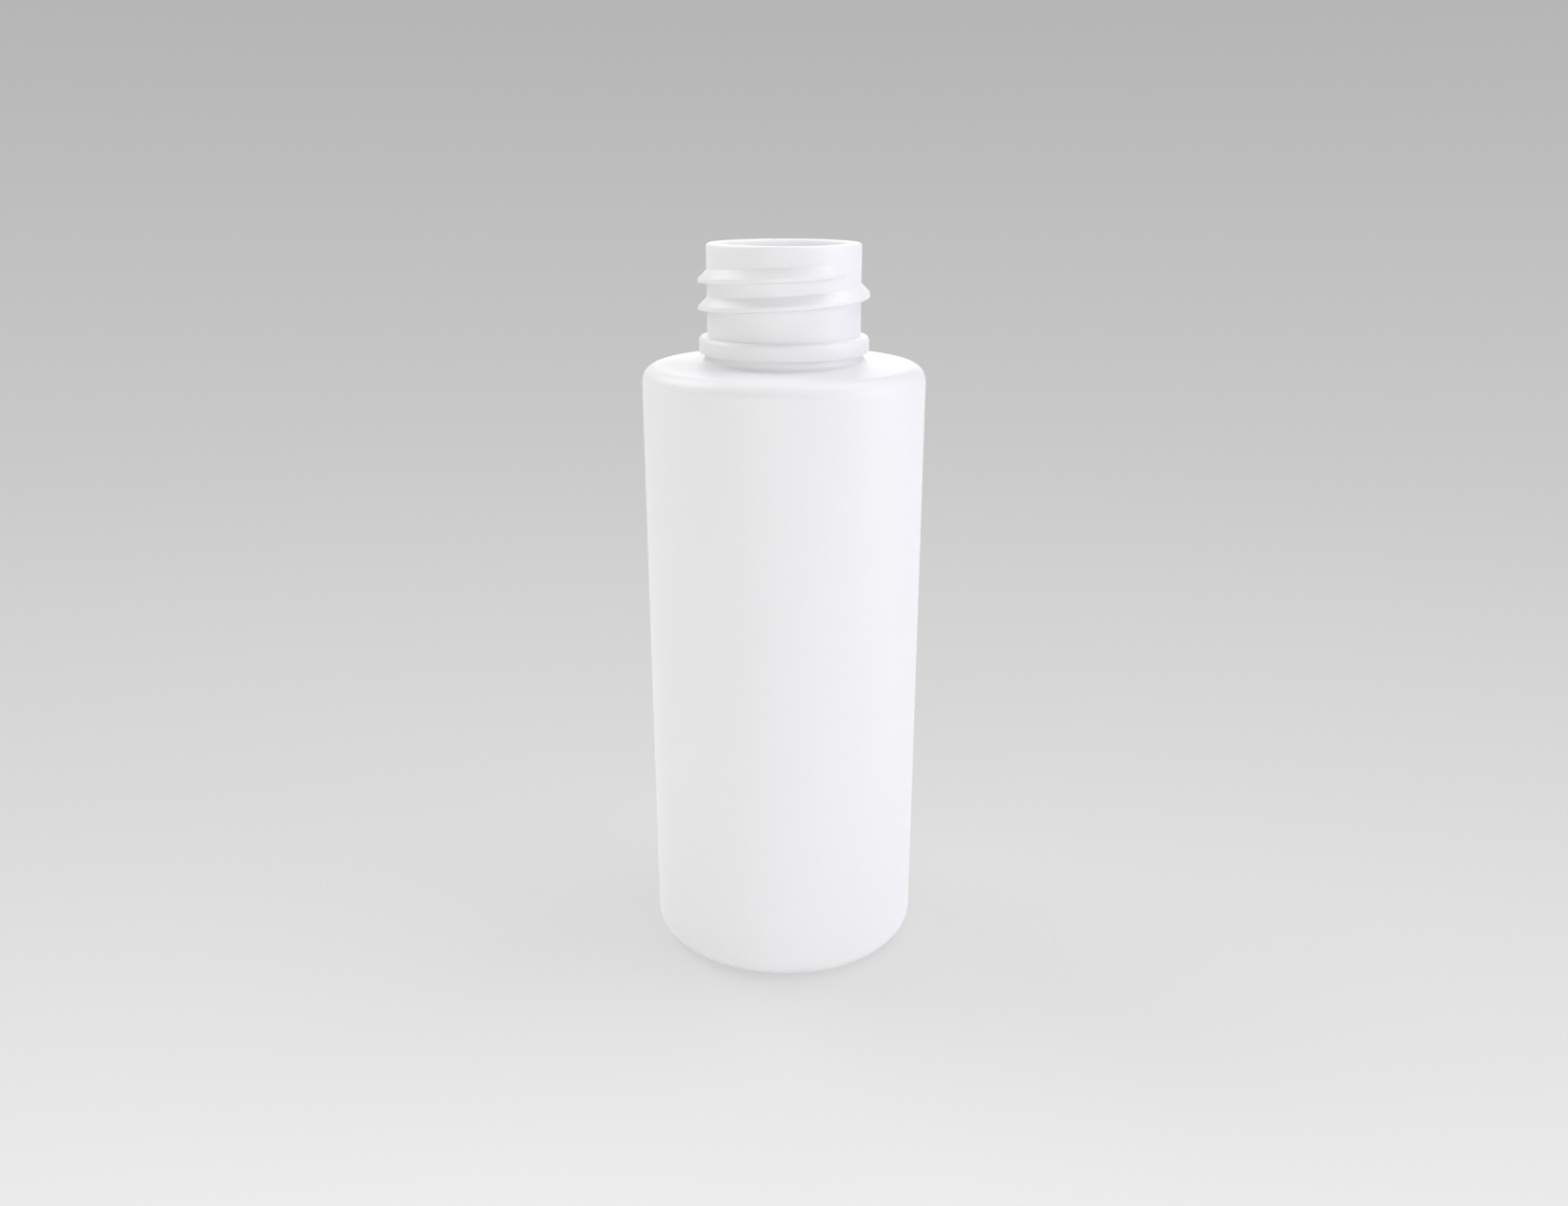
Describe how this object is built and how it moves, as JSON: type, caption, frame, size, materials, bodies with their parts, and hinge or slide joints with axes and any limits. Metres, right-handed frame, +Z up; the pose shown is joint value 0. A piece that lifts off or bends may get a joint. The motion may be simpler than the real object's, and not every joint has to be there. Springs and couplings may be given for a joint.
{
  "type": "cosmetic bottle",
  "caption": "Round white plastic bottle for lotion or gel, open, with a collar and a right-handed screw thread on its neck for a cap or pump.",
  "frame": {"origin": "on the ground under the middle of the base", "axes": "+Z up along the bottle's axis towards the mouth, -Y towards the front that was pictured, +X to the right seen from the front"},
  "size_m": [0.033, 0.033, 0.0864],
  "materials": {
    "white_plastic": "satin, opaque white high-density polyethylene"
  },
  "bodies": {
    "root": {"bottle": "white_plastic"}
  },
  "joints": []
}
